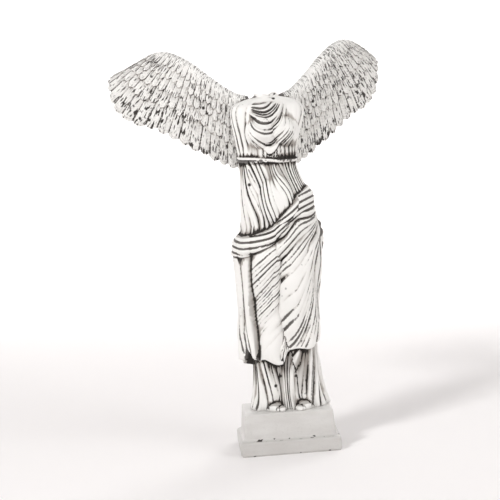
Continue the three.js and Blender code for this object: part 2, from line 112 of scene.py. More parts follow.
# Places on the cloth: degrees round the body, height, half width in degrees and half height.
THIGH, KNEE = (36, 104, 15, 20), (38, 76, 11, 10)
BREASTS = [(-37, 213, 12, 6), (40, 213, 12, 6)]
BELLY = (0, 160, 17, 12)
OVER_FEET = [(37.5, 0, 14, 7), (-36, 0, 13, 7)]
# Where round the mantle its fan, swags and falls set in, in degrees, on the side of +X and of -X.
FAN_EDGES = [(112, 96), (-68, -42)]
SWAG_EDGES = [(92, 116), (-78, -104)]
FALL_EDGES = [(70, 100), (-40, -70)]
# Both wings: the root, the sweep back in degrees, the bow of the whole, and the feathers row by row.
WING = dict(root=(13, 9, 234), sweep=30, tip_half=1.2, bow=6, bow_length=115, curl=5,
            lift=0.9, crown=0.5, gap=0.9, row_feathers=(26, 24, 22, 20, 18),
            row_reach=(0.13, 0.27, 0.43, 0.62, 1),
            scallop=(0.045, 0.05, 0.055, 0.06, 0.05), stray=(0.025, 0.03, 0.035, 0.035, 0.018),
            shaft=0.3, barb=0.16, barb_step=2.3)
# Along each wing, root to tip: share, bone out, bone up, feather angle below level, length and bone radius.
WING_STATIONS = [
    [0.0, 0, -2, 88, 52, 4.8],
    [0.12, 11, 2, 84, 53, 4.8],
    [0.3, 26, 13, 75, 53, 4.6],
    [0.5, 43, 27, 62, 56, 4.2],
    [0.7, 60, 36, 44, 61, 3.8],
    [0.85, 72, 37.5, 28, 46, 3.2],
    [1.0, 83, 32, 18, 25, 2.4],
]
# How finely each form is drawn, round and up or along, and how many triangles the figure keeps.
BODY_GRID, TOE_GRID = (440, 560), (40, 24)
WING_GRID, WING_EDGE_STEPS = (420, 170), 14
FIGURE_TRIANGLES = 195000
# The smoothing steps that a groove, a broad hollow and a deep one are measured over.
FINE_STEPS, BROAD_STEPS, DEEP_STEPS = 6, 14, 220

# The figure's colours: white resin, the wash from thin to thick, where the broad and deep ones also paint
# shade into the hollows, and ink-dark lines and dots.
WHITE_RESIN, WHITEST_RESIN = (0.84, 0.83, 0.805), (0.9, 0.89, 0.865)
THIN_WASH, BROAD_WASH_AND_SHADE, DEEP_WASH_AND_SHADE = (0.38, 0.33, 0.285), (0.25, 0.21, 0.175), (0.17, 0.145, 0.125)
LINE_INK, WING_INK = (0.02, 0.016, 0.013), (0.028, 0.023, 0.019)
# The plinth's colours, and the heights of its slab's top and of the chipped lines.
PLINTH_GREY, PLINTH_PALE = (0.6, 0.585, 0.565), (0.67, 0.66, 0.64)
PLINTH_DUST, SLAB_GREY, CHIP_INK = (0.4, 0.38, 0.36), (0.45, 0.435, 0.415), (0.03, 0.024, 0.02)
SLAB_TOP, STEP_CHIPS, EDGE_CHIPS = 11, 11.6, 0.8

# Each lamp: place, watts, width and the point it faces, in metres.
LAMPS = {
    "key": ((-1.0, -0.9, 1.2), 14.5, 0.3, (0, 0, 0.15)),
    "fill": ((1.1, -0.9, 0.7), 6.5, 0.8, (0, 0, 0.15)),
    "rim": ((0.7, 0.9, 0.9), 4, 0.6, (0, 0, 0.15)),
    "backdrop": ((0, 1.2, 1.5), 27, 1.2, (0, 2.6, 0.5)),
}
WORLD_COLOUR, WORLD_STRENGTH = (1, 0.99, 0.98, 1), 0.28
# The floor is flat out to one radius, bends up over the next and rises as a wall, in metres.
FLOOR = dict(flat=1.7, bend=0.9, top=2.6, colour=(0.93, 0.91, 0.905, 1))
CAMERA = dict(lens=113, distance=1.18, azimuth=-3.4, elevation=8, roll=3.8, target=(-0.020, 0, 0.153))


def mix(a, b, t):
    """From a to b as t goes from nought to one."""
    return a + (b - a) * t


def ramp(low, high, v):
    """From nought at low to one at high, smoothly."""
    t = np.clip((v - low) / (high - low), 0, 1)
    return t * t * (3 - 2 * t)


def wrapped(deg):
    """The same direction, from -180 to 180 degrees."""
    return deg - 360 * np.round(deg / 360)


def wave(deg):
    """A smooth swing from -1 to 1, once in every 360."""
    return np.sin(np.radians(deg))


def scatter(i, k):
    """A fixed number from -1 to 1 that looks random, for each i and k."""
    s = np.sin(i * 12.9898 + k * 78.233) * 43758.5453
    return 2 * (s - np.floor(s)) - 1


def along(table, place):
    """Smooth values between rows of a table whose first column is the place."""
    table = np.array(table, float)
    at, values = table[:, 0], table[:, 1:]
    slopes = np.empty_like(values)
    slopes[1:-1] = (values[2:] - values[:-2]) / (at[2:] - at[:-2])[:, None]
    slopes[0] = (values[1] - values[0]) / (at[1] - at[0])
    slopes[-1] = (values[-1] - values[-2]) / (at[-1] - at[-2])
    place = np.clip(place, at[0], at[-1])
    i = np.clip(np.searchsorted(at, place, side="left") - 1, 0, len(at) - 2)
    span = (at[i + 1] - at[i])[..., None]
    t = (place - at[i])[..., None] / span
    t2, t3 = t * t, t * t * t
    made = ((2 * t3 - 3 * t2 + 1) * values[i] + (t3 - 2 * t2 + t) * slopes[i] * span
            + (3 * t2 - 2 * t3) * values[i + 1] + (t3 - t2) * slopes[i + 1] * span)
    return [made[..., c] for c in range(made.shape[-1])]


def roll_at(deg):
    """The height of the middle of the roll round the hips."""
    return ROLL["height"] - ROLL["slope"] * np.cos(np.radians(deg - ROLL["lowest"]))


def hem_at(deg):
    """The height of the mantle's lower edge."""
    level = HEM["height"] - HEM["slope"] * np.cos(np.radians(deg - HEM["lowest"]))
    return level + 2.2 * wave(5 * deg) + wave(13 * deg)


def belt_at(deg):
    """The height of the belt, which runs round a little aslant."""
    return BELT_HEIGHT - 2.2 * wave(deg + 20)


def smooth_max(a, b, width):
    """The larger of two values, rounded where they cross."""
    d = np.clip(0.5 + 0.5 * (a - b) / width, 0, 1)
    return mix(b, a, d) + width * d * (1 - d)


def leg_reach(leg, height, cx, cy, ux, uy):
    """How far the cloth over one leg stands from the body's axis, in the direction (ux, uy)."""
    lx, ly, r = along(leg, height)
    ahead = (lx - cx) * ux + (ly - cy) * uy
    aside = np.maximum(0, (lx - cx) ** 2 + (ly - cy) ** 2 - ahead ** 2)
    miss = np.sqrt(aside)
    reach = np.where(miss < r, ahead + np.sqrt(np.maximum(0, r * r - aside)), ahead - 1.5 * (miss - r))
    return np.where(ahead < 0, 0, reach)


def body_form(deg, height):
    """Points of the body under its carving: level ovals, the legs and the rounded masses."""
    cx, cy, half, front, back = along(LEVELS, height)
    ux, uy = np.sin(np.radians(deg)), -np.cos(np.radians(deg))
    depth = np.where(uy < 0, front, back)
    total = np.abs(ux / half) ** SQUARENESS + np.abs(uy / depth) ** SQUARENESS
    reach = total ** (-1 / SQUARENESS)
    legs = 1 - ramp(LEG_TOP - 30, LEG_TOP, height)
    for leg in (FREE_LEG, STANDING_LEG):
        out = leg_reach(leg, height, cx, cy, ux, uy) + 1.2
        reach = mix(reach, smooth_max(reach, out, 4), legs)
    x = cx + reach * ux
    for mx, mz, wide, tall, out, side in MASSES:
        d2 = ((x - mx) / wide) ** 2 + ((height - mz) / tall) ** 2
        bump = out * np.maximum(0, 1 - d2) ** 1.5 * np.minimum(1, 2.5 * np.abs(uy))
        reach = reach + np.where(side * uy > 0, 0, bump)
    return np.stack([cx + reach * ux, cy + reach * uy, height + 0 * reach], -1)


def ridges(phase, deg, height, seed, most, count=1000, crease=0.3):
    """Folds along the lines where phase is a whole number: sharp valleys there, and rounded crests between.

    Some folds stand higher than others, each valley runs deep and shallow by turns, and wide folds part.
    """
    here = phase(deg, height)
    across = (phase(deg + 0.5, height) - here) / (0.5 * MM_PER_DEG)
    upward = (phase(deg, height + 0.3) - here) / 0.3
    width = 1 / np.hypot(across, upward)
    fold, valley = np.mod(np.floor(here), count), np.mod(np.round(here), count)
    top = 0.72 + 0.28 * scatter(fold, seed)
    turns = 0.45 * wave(6 * height + 2 * deg + 137 * valley)
    bottom = 0.55 * np.clip(0.4 + 0.5 * scatter(valley, seed + 20) + turns, 0, 1)
    split = np.abs(np.sin(2 * np.pi * here + 0.9 * scatter(fold, seed + 1))) ** 0.8
    parted = mix(1, mix(1 - crease, 1, split), ramp(3.5, 7.5, width))
    return np.minimum(most, 0.52 * width) * mix(bottom, top * parted, np.abs(np.sin(np.pi * here)) ** 0.85)


def skirt_phase(deg, height):
    """Upright pleats of the dress, which wander more near the ground."""
    flow = 3 * wave(4 * height + 2 * deg) + 6 * wave(2 * deg + 40) * ramp(60, 0, height)
    return PLEATS * (deg + flow + 5 * wave(5 * deg + 80) + 2.5 * wave(8 * deg)) / 360


def fan_phase(deg, height):
    """Folds that spread from the gathered cloth at the hip, and sag on their way round the legs."""
    out = (GATHER[0] - deg) * MM_PER_DEG
    sag = 0.003 * out * out + 5 * wave(1.6 * out)
    angle = np.degrees(np.arctan2(GATHER[1] - height - sag, np.maximum(out, 0.5) + 3))
    return angle / 6.6 + 0.25 * wave(13 * angle + 150) + 0.008 * out * wave(9 * angle + 40)


def far_fan_phase(deg, height):
    """The same folds, each parted in three."""
    return 3 * fan_phase(deg, height)


def swell_phase(deg, height):
    """The broad swells of the cloth that those folds lie on."""
    return fan_phase(deg, height) / 3 + 0.4


def swag_phase(deg, height):
    """Folds that hang between the hips behind."""
    off = wrapped(deg - 188) / 104
    drop = (154 - height) / np.maximum(0.32, 1 - off * off)
    return drop / 7 + 0.3 * wave(19 * drop)


def fall_phase(deg, height):
    """Upright folds at the lower sides of the mantle."""
    return FALLS * (deg + 3 * wave(7 * deg) + 3 * wave(3 * height + 2 * deg)) / 360


def waist_phase(deg, height):
    """Folds from the belt down to the roll, which lean to the right and part round the belly."""
    fall = np.clip((BELT_HEIGHT - height) / 50, 0, 1)
    part = 15 * np.tanh(deg / 11) * np.exp(-(((height - 162) / 17) ** 2) - (deg / 40) ** 2)
    lean = fall * (24 + 9 * wave(deg + 60)) + 9 * wave(180 * fall) * wave(2 * deg + 130)
    return WAIST_FOLDS * (deg - part - lean + 3.5 * wave(5 * deg + 20) + 2 * wave(9 * deg)) / 360


def bodice_phase(deg, height):
    """Folds that hang in curves between the shoulders."""
    off = (deg + 3 + 0.25 * (height - 212)) / 74
    drop = (236 - height + 3.5 * wave(1.3 * deg)) / np.maximum(0.15, 1 - off * off)
    return drop / 3 + 0.32 * wave(32 * drop) + 0.2 * wave(3 * deg + 40)


def side_phase(deg, height):
    """Upright folds at the sides and back of the bodice."""
    return (deg + 5 * wave(3 * deg) + 4 * wave(4 * (height - BELT_HEIGHT) + deg)) / SIDE_STEP


def gather_phase(deg, height):
    """Small gathers where the belt pulls the cloth in, the same at every height."""
    return GATHERS * (deg + 3 * wave(5 * deg + 30)) / 360


def roll_height(deg, height):
    """How far the roll round the hips stands out: a rounded band of twisted strands."""
    off = (height - roll_at(deg)) / ROLL["half"]
    strands = np.abs(np.cos(np.pi * (2 * off + deg / 55)))
    made = (ROLL["out"] + 1.5 * strands ** 0.7) * np.sqrt(np.maximum(0, 1 - off * off))
    return np.where(np.abs(off) >= 1, 0, made)


def cascade_height(c, deg, height):
    """An end of the mantle that falls in pleats, with a zigzag edge."""
    off = wrapped(deg - c["at"]) / c["half"]
    phase = off * c["pleats"] * 0.5 + 0.25 + 0.06 * wave(6 * height)
    saw = np.abs(phase - np.round(phase)) * 2
    bottom = c["bottom"] + c["zigzag"] * (2 * saw - 1) + 10 * np.abs(off)
    edge = ramp(bottom - 1.2, bottom + 1.2, height) * (1 - ramp(c["top"] - 6, c["top"] + 4, height))
    spread = mix(1, 0.7, ramp(c["bottom"], c["top"], height))
    made = edge * (1 - np.abs(off) ** 4) * c["out"] * (1 - 0.5 * saw) * spread
    return np.where(np.abs(off) >= 1, 0, made)


def belt_height(deg, height):
    """How far the belt stands out."""
    d = (height - belt_at(deg)) / (BELT_RADIUS + 0.4)
    return 2.2 * np.sqrt(np.maximum(0, 1 - d * d))


def stirred(deg, height):
    """The same place, moved a little, so that no line of the cloth runs quite true."""
    moved = deg + 2.2 * wave(3 * deg + 2.9 * height + 40) + 1.3 * wave(5 * deg - 4.3 * height + 100)
    raised = height + 1.6 * wave(4 * deg + 3.1 * height + 10) + 0.9 * wave(7 * deg - 2.3 * height)
    return moved, raised


def spot(deg, height, at, level, wide, tall):
    """One at a place on the cloth, fading to nothing round it."""
    return np.exp(-((wrapped(deg - at) / wide) ** 2) - ((height - level) / tall) ** 2)


def skirt(deg, height, d, h):
    """Pleats of the dress below the mantle, pushed back above the feet."""
    feet = sum(spot(deg, height, *place) for place in OVER_FEET)
    most = mix(5.5, 4, height / 50)
    pleats = 1.25 * ridges(skirt_phase, d, h, seed=3, most=most, count=PLEATS, crease=0.5)
    return pleats * (1 - 0.6 * feet) - 3.5 * feet


def mantle(deg, height, d, h):
    """A fan of folds over the legs, swags behind and falls at the sides, flatter on the thigh and knee."""
    turn, stirred_turn = wrapped(deg), wrapped(d)
    near = ridges(fan_phase, stirred_turn, h, seed=5, most=5)
    far = ridges(far_fan_phase, stirred_turn, h, seed=6, most=5)
    away = np.hypot((PARTING["deg"] - turn) * MM_PER_DEG, PARTING["height"] - height)
    fan = mix(near, far, ramp(PARTING["starts"], PARTING["done"], away))
    fan = 0.85 * fan + 0.85 * ridges(swell_phase, stirred_turn, h, seed=6, most=6, crease=0)
    fan_right, fan_left = (ramp(*edge, turn) for edge in FAN_EDGES)
    fan = fan * fan_right * fan_left
    swags = ridges(swag_phase, d, h, seed=7, most=4)
    swags = swags * np.maximum(*(ramp(*edge, turn) for edge in SWAG_EDGES))
    falls = ridges(fall_phase, d, h, seed=9, most=3.2, count=FALLS) * ramp(78, 58, height)
    falls = falls * np.maximum(*(ramp(*edge, turn) for edge in FALL_EDGES))
    leg = 1 - 0.6 * spot(deg, height, *THIGH) - 0.5 * spot(deg, height, *KNEE)
    below_roll = ramp(-2, 14, roll_at(deg) - height)
    return HEM["thickness"] + leg * below_roll * np.maximum(np.maximum(fan, swags), falls)


def waist(deg, height, d, h):
    """Folds of the dress between the belt and the roll, flatter on the belly."""
    folds = ridges(waist_phase, d, h, seed=11, most=2.6, count=WAIST_FOLDS)
    return folds * (1 - 0.75 * spot(deg, height, *BELLY))


def bodice(deg, height, d, h):
    """Curved folds across the breast, upright ones at the sides and back, and gathers over the belt."""
    turn = wrapped(deg)
    breasts = 1 - 0.4 * sum(spot(deg, height, *breast) for breast in BREASTS)
    front = ramp(74, 52, np.abs(turn + 3)) * ramp(233, 229, height)
    hung = 1.5 * ridges(bodice_phase, turn, height, seed=13, most=2.3) * front
    sides = ridges(side_phase, d, h, seed=15, most=1.9, count=360 // SIDE_STEP) * ramp(46, 72, np.abs(turn))
    gathers = ridges(gather_phase, d, h, seed=17, most=1.7, count=GATHERS) * ramp(206, 194, height)
    return np.maximum(np.maximum(hung * breasts, sides), gathers) * ramp(234, 229, height)


def carving(deg, height):
    """How far the carving stands out from the body's form."""
    place = (deg, height, *stirred(deg, height))
    roll, hem = roll_at(deg), hem_at(deg)
    wrap = ramp(hem - 0.7, hem + 0.7, height) * ramp(roll + 4, roll, height)
    out = wrap * mantle(*place) + (1 - wrap) * skirt(*place) * (height < hem + 2)
    out = out + waist(*place) * ((height > roll - 4) & (height < BELT_HEIGHT))
    out = out + bodice(*place) * (height >= BELT_HEIGHT - 2)
    out = np.maximum(out, np.maximum(roll_height(deg, height), belt_height(deg, height)))
    for c in CASCADES:
        out = out + cascade_height(c, deg, height) * (1 - 0.5 * ramp(roll - 8, roll, height))
    return out


def turned(points, height):
    """The upper body and wings are turned a little against the legs."""
    angle = math.radians(TURN_DEG) * ramp(TURN_FROM, TURN_TO, height)
    c, s = np.cos(angle), np.sin(angle)
    x, y, z = points[..., 0], points[..., 1], points[..., 2]
    return np.stack([x * c - y * s, x * s + y * c, z], -1)


def neck_loss(deg, height):
    """How far the ragged edge of the broken neck lies below its highest point."""
    return ramp(234, FIGURE_HEIGHT, height) * (1.7 + wave(2 * deg + 30) + 0.7 * wave(5 * deg))


def body_points(deg, height):
    """Points of the finished surface: the body's form, pushed out by its carving."""
    d_deg, d_height = 1.0, 0.5
    here = body_form(deg, height)
    around = body_form(deg + d_deg, height) - body_form(deg - d_deg, height)
    up = body_form(deg, np.minimum(FIGURE_HEIGHT, height + d_height)) - body_form(deg, height - d_height)
    normal = np.cross(around, up)
    normal[..., 2] *= ramp(4, 30, height)
    normal /= np.linalg.norm(normal, axis=-1, keepdims=True)
    here = turned(here + normal * carving(deg, height)[..., None], height)
    here[..., 2] += PLINTH_TOP - neck_loss(deg, height)
    return here


def note(mesh, name, values):
    """Keep one number for each point of the mesh, for the material to read."""
    kept = mesh.attributes.new(name, "FLOAT", "POINT")
    kept.data.foreach_set("value", np.asarray(values, np.float32).ravel())


def loft(name, rings):
    """A closed mesh through rings of points, in millimetres, with a fan over each end."""
    rows, n = rings.shape[:2]
    ends = np.stack([rings[0].mean(0), rings[-1].mean(0)])
    verts = np.concatenate([rings.reshape(-1, 3), ends]) * MM
    r, i = np.meshgrid(np.arange(rows - 1), np.arange(n), indexing="ij")
    j = (i + 1) % n
    sides = np.stack([r * n + i, r * n + j, (r + 1) * n + j, (r + 1) * n + i], -1).reshape(-1, 4)
    i, j = i[0], j[0]
    start = np.stack([np.full(n, rows * n), j, i], -1)
    end = np.stack([np.full(n, rows * n + 1), (rows - 1) * n + i, (rows - 1) * n + j], -1)
    mesh = bpy.data.meshes.new(name)
    mesh.from_pydata(verts.tolist(), [], sides.tolist() + start.tolist() + end.tolist())
    obj = bpy.data.objects.new(name, mesh)
    bpy.context.scene.collection.objects.link(obj)
    return obj


def neck_break(ring):
    """Rings that close the neck with the rough, slightly dished surface of a break."""
    middle = ring.mean(0)
    rings = []
    for share in np.linspace(1, 0.1, 22)[1:]:
        inner = middle + (ring - middle) * share
        x, y = inner[:, 0], inner[:, 1]
        rough = 0.8 * np.sin(1.3 * x + 0.6 * y) * np.sin(0.9 * y - 0.5 * x)
        rough += 0.35 * np.sin(3.1 * x + 2) * np.sin(2.7 * y)
        inner[:, 2] += (rough - 0.9) * ramp(1.0, 0.8, share)
        rings.append(inner)
    return np.array(rings)


def body():
    """The body and its cloth, from below the plinth's top to the break at the neck."""
    columns, rows = BODY_GRID
    even = -180 + 360 * np.arange(columns) / columns
    deg = even - 14 * wave(even)
    deg, height = np.meshgrid(deg, np.linspace(-BURIED, FIGURE_HEIGHT, rows))
    points = body_points(deg, height)
    return loft("body", np.concatenate([points, neck_break(points[-1])]))


def applied(obj, kind, **settings):
    """Bake one modifier into the object's mesh."""
    modifier = obj.modifiers.new(kind.lower(), kind)
    for key, value in settings.items():
        setattr(modifier, key, value)
    changed = obj.evaluated_get(bpy.context.evaluated_depsgraph_get())
    obj.data = bpy.data.meshes.new_from_object(changed)
    obj.modifiers.clear()


def joined(obj, others):
    """One closed solid from several that overlap."""
    for other in others:
        applied(obj, "BOOLEAN", operation="UNION", solver="MANIFOLD", object=other)
        bpy.data.objects.remove(other)
    return obj


def edge_ends(mesh):
    """The points at both ends of every edge, as two rows."""
    ends = np.empty(len(mesh.edges) * 2, int)
    mesh.edges.foreach_get("vertices", ends)
    return ends.reshape(-1, 2).T


def widened(mesh, values):
    """Each point's value, or its highest neighbour's."""
    a, b = edge_ends(mesh)
    wide = values.copy()
    np.maximum.at(wide, a, values[b])
    np.maximum.at(wide, b, values[a])
    return wide


def recesses(mesh, spans):
    """How far each point lies below the surface smoothed over each span of steps, in millimetres."""
    count = len(mesh.vertices)
    points = np.empty(count * 3)
    mesh.vertices.foreach_get("co", points)
    points = points.reshape(-1, 3) / MM
    normals = np.empty(count * 3)
    mesh.vertices.foreach_get("normal", normals)
    normals = normals.reshape(-1, 3)
    a, b = edge_ends(mesh)
    links = np.bincount(a, minlength=count) + np.bincount(b, minlength=count)
    smooth = points.copy()
    depths, done = [], 0
    for span in spans:
        for _ in range(span - done):
            total = np.stack([np.bincount(a, smooth[b, k], count) + np.bincount(b, smooth[a, k], count)
                              for k in range(3)], -1)
            smooth = 0.4 * smooth + 0.6 * total / links[:, None]
        done = span
        depths.append(((smooth - points) * normals).sum(-1))
    return depths


def without_fins(mesh):
    """Removes the few faces that the thinning leaves hanging by one edge."""
    form = bmesh.new()
    form.from_mesh(mesh)
    fins = [face for face in form.faces if any(edge.is_boundary for edge in face.edges)]
    bmesh.ops.delete(form, geom=fins, context="FACES")
    form.to_mesh(mesh)
    form.free()


def feather_rows(columns):
    """For each row of feathers: each column's place, place across its feather, feather number and end."""
    share = np.linspace(0, 1, columns)
    rows = []
    for row, reach in enumerate(WING["row_reach"]):
        place = share * WING["row_feathers"][row]
        number = np.round(place)
        across = place - number
        end = reach - WING["scallop"][row] * np.abs(2 * across) ** 1.8
        end = end + WING["stray"][row] * scatter(number, 40 + row)
        rows.append((place, across, number, np.minimum(end, 1)))
    return rows


def feather_relief(share, length, rows, detail):
    """How far the feathers stand out at each share of each column's length, and their places along the row.

    The shafts and barbs are left out where detail is nought.
    """
    made, places = np.zeros(share.shape), np.zeros(share.shape)
    done = np.zeros(share.shape, bool)
    begin = np.zeros(share.shape[0])
    for row, (place, across, number, end) in enumerate(rows):
        here = (share <= end[:, None]) & ~done
        grown = np.clip((share - begin[:, None]) / (end - begin)[:, None], 0, 1)
        a = across[:, None]
        depth = WING["gap"] * (0.7 + 0.5 * scatter(number, 50 + row))[:, None] * (0.25 + 0.75 * grown)
        gap = depth * np.exp(-((0.5 - np.abs(a)) / 0.07) ** 2)
        crown = WING["crown"] * (1 - (2 * a) ** 2) * (0.35 + 0.65 * grown)
        raised = WING["lift"] * (0.75 + 0.35 * scatter(number, 60 + row))[:, None]
        raised = raised if row < len(rows) - 1 else 0.1
        shaft = WING["shaft"] * np.exp(-((a / 0.05) ** 2))
        slant = share * length[:, None] / WING["barb_step"] + 2.2 * np.abs(a)
        barbs = WING["barb"] * np.sin(2 * math.pi * slant) * (0.4 + grown)
        feather = crown + raised * grown ** 1.5 + 0.25 * a * grown + detail * (shaft + barbs) - gap
        made = np.where(here, feather, made)
        places = np.where(here, place[:, None], places)
        done |= here
        begin = end
    return made, places


def wing(side):
    """One wing: its feathers in front, over the bone at its upper edge, and down the back."""
    columns, steps = WING_GRID
    share = np.linspace(0, 1, columns)
    out, up, angle, length, bone = along(WING_STATIONS, share)
    sweep = math.radians(WING["sweep"])
    outward = np.array([side * math.cos(sweep), math.sin(sweep), 0])
    front = np.array([side * math.sin(sweep), -math.cos(sweep), 0])
    dx, dy = np.cos(np.radians(angle)), -np.sin(np.radians(angle))
    root = np.array([side * WING["root"][0], WING["root"][1], WING["root"][2]])

    def points(s, thick):
        """Points at a share of each column's length, off the wing's middle by the given thickness."""
        u = out[:, None] + dx[:, None] * s * length[:, None]
        w = up[:, None] + dy[:, None] * s * length[:, None]
        bow = WING["bow"] * np.sin(np.pi * u / WING["bow_length"]) - WING["curl"] * s * s
        p = root + u[..., None] * outward + (bow + thick)[..., None] * front
        p[..., 2] += w
        return p

    rows = feather_rows(columns)
    span = np.linspace(0, 1, steps)[None, :] * rows[-1][3][:, None]
    base = mix(bone[:, None], WING["tip_half"], ramp(-0.15, 0.75, span))
    front_relief, place = feather_relief(span, length, rows, detail=1)
    back_relief = feather_relief(span, length, rows, detail=0)[0]
    front_half, back_half = base + front_relief, base + back_relief
    turn = np.linspace(0, math.pi, WING_EDGE_STEPS)[1:-1][None, :]
    edge = mix(front_half[:, :1], back_half[:, :1], (1 - np.cos(turn)) / 2) * np.cos(turn)
    over = points(-bone[:, None] * np.sin(turn) / length[:, None], edge)
    rings = np.concatenate([points(span, front_half)[:, ::-1], over, points(span, -back_half)], axis=1)
    rings = turned(rings, np.full(rings.shape[:2], float(TURN_TO)))
    rings[..., 2] += PLINTH_TOP
    noted = {"feather": (place, 1), "reach": (span, 1), "plumage": (np.ones(span.shape), 0.5)}
    obj = loft("wing", rings[:, ::-1] if side > 0 else rings)
    for name, (on_front, behind) in noted.items():
        around = on_front[:, :1] - 0.2 * np.sin(turn) * (name == "reach")
        values = np.concatenate([on_front[:, ::-1], around, behind * on_front], axis=1)
        values = values[:, ::-1] if side > 0 else values
        note(obj.data, name, np.append(values.ravel(), [0, 0]))
    return obj


def ball(radius, stretch, place):
    """A stretched ball of rings, from its lowest point to its highest."""
    around, rings = TOE_GRID
    level, turn = np.meshgrid(np.linspace(-1.45, 1.45, rings),
                              np.linspace(0, 2 * math.pi, around, endpoint=False), indexing="ij")
    points = np.stack([np.cos(level) * np.cos(turn), np.cos(level) * np.sin(turn), np.sin(level)], -1)
    return points * radius * np.array(stretch) + np.array(place)


def foot(x, y, heading, big_toe):
    """The front of a foot, with its toes, showing under the dress."""
    balls = [ball(radius, TOE_STRETCH, (big_toe * (1 - 0.5 * i), 0.22 * i * i - 1, radius * 0.55))
             for i, radius in enumerate(TOE_RADII)]
    balls.append(ball(**INSTEP))
    c, s = math.cos(math.radians(heading)), math.sin(math.radians(heading))
    turn = np.array([[c, -s, 0], [s, c, 0], [0, 0, 1]])
    return [loft("toe", rings @ turn.T + np.array([x, y, PLINTH_TOP])) for rings in balls]


def block(low, high):
    """A plain box to cut with, between two heights, wider than the object."""
    far = 200
    ring = np.array([[-far, -far], [far, -far], [far, far], [-far, far]], float)
    return loft("block", np.array([[(*corner, z) for corner in ring] for z in (low, high)]))


def carved_figure():
    """Body, wings and feet as one mesh, with its hollows noted for the material."""
    toes = [toe for place in FEET for toe in foot(*place)]
    made = joined(body(), [wing(1), wing(-1), joined(toes[0], toes[1:])])
    made.name = "winged_figure_carved"
    buried = block(PLINTH_TOP - 40, PLINTH_TOP)
    applied(made, "BOOLEAN", operation="DIFFERENCE", solver="MANIFOLD", object=buried)
    bpy.data.objects.remove(buried)
    applied(made, "TRIANGULATE")
    grooves = recesses(made.data, [FINE_STEPS])[0]
    note(made.data, "fine", widened(made.data, grooves))
    applied(made, "DECIMATE", ratio=FIGURE_TRIANGLES / len(made.data.polygons))
    without_fins(made.data)
    broad, deep = recesses(made.data, [BROAD_STEPS, DEEP_STEPS])
    note(made.data, "broad", broad)
    note(made.data, "deep", deep)
    made.data.polygons.foreach_set("use_smooth", [True] * len(made.data.polygons))
    return made


class Signal:
    """A number that varies over a surface. Sums, differences and products add nodes to its material."""

    def __init__(self, socket):
        self.socket = socket
        self.tree = socket.id_data

    def apply(self, kind, other=None):
        """The result of one kind of sum, with another signal or a plain number."""
        node = self.tree.nodes.new("ShaderNodeMath")
        node.operation = kind
        self.tree.links.new(self.socket, node.inputs[0])
        if isinstance(other, Signal):
            self.tree.links.new(other.socket, node.inputs[1])
        elif other is not None:
            node.inputs[1].default_value = other
        return Signal(node.outputs[0])

    def __add__(self, other):
        return self.apply("ADD", other)

    def __sub__(self, other):
        return self.apply("SUBTRACT", other)

    def __mul__(self, other):
        return self.apply("MULTIPLY", other)

    def or_more(self, other):
        """The larger of the two."""
        return self.apply("MAXIMUM", other)

    def between(self, none, full):
        """Nought at one value and one at another, which may be the smaller, and smooth in between."""
        node = self.tree.nodes.new("ShaderNodeMapRange")
        node.interpolation_type = "SMOOTHSTEP"
        node.inputs["From Min"].default_value = none
        node.inputs["From Max"].default_value = full
        self.tree.links.new(self.socket, node.inputs["Value"])
        return Signal(node.outputs["Result"])

    def near(self, middle, width):
        """One at the middle, falling to nothing at the given width to either side."""
        return (self - middle).apply("ABSOLUTE").between(width, 0)


def new_material(name):
    """A material, its node tree and its shader."""
    material = bpy.data.materials.new(name)
    material.use_nodes = True
    tree = material.node_tree
    return material, tree, tree.nodes["Principled BSDF"]


def attribute(tree, name):
    """One of the numbers noted at the mesh's points."""
    node = tree.nodes.new("ShaderNodeAttribute")
    node.attribute_name = name
    return Signal(node.outputs["Fac"])


def object_place(tree):
    """Each point's own x, y and z."""
    return tree.nodes.new("ShaderNodeTexCoord").outputs["Object"]


def height_up(tree):
    """The height above the ground, in metres."""
    place = tree.nodes.new("ShaderNodeSeparateXYZ")
    tree.links.new(object_place(tree), place.inputs[0])
    return Signal(place.outputs["Z"])


def noise_at(tree, place, scale, detail):
    """Cloudy noise from nought to one at the given place."""
    node = tree.nodes.new("ShaderNodeTexNoise")
    node.inputs["Scale"].default_value = scale
    node.inputs["Detail"].default_value = detail
    tree.links.new(place, node.inputs["Vector"])
    return Signal(node.outputs["Fac"])


def noise(tree, scale, detail=2, stretch=(1, 1, 1)):
    """Cloudy noise over the object, finer where the scale is larger."""
    mapping = tree.nodes.new("ShaderNodeMapping")
    mapping.inputs["Scale"].default_value = stretch
    tree.links.new(object_place(tree), mapping.inputs["Vector"])
    return noise_at(tree, mapping.outputs[0], scale, detail)


def streaks(tree, across, along_feather):
    """Noise drawn out along the feathers."""
    flat = tree.nodes.new("ShaderNodeCombineXYZ")
    tree.links.new((attribute(tree, "feather") * across).socket, flat.inputs["X"])
    tree.links.new((attribute(tree, "reach") * along_feather).socket, flat.inputs["Y"])
    return noise_at(tree, flat.outputs[0], scale=1, detail=1)


def blend(factor, a, b):
    """The first colour where the factor is nought, the second where it is one."""
    node = factor.tree.nodes.new("ShaderNodeMix")
    node.data_type = "RGBA"
    factor.tree.links.new(factor.socket, node.inputs["Factor"])
    for socket, colour in ((node.inputs["A"], a), (node.inputs["B"], b)):
        if isinstance(colour, tuple):
            socket.default_value = (*colour, 1)
        else:
            factor.tree.links.new(colour, socket)
    return node.outputs["Result"]


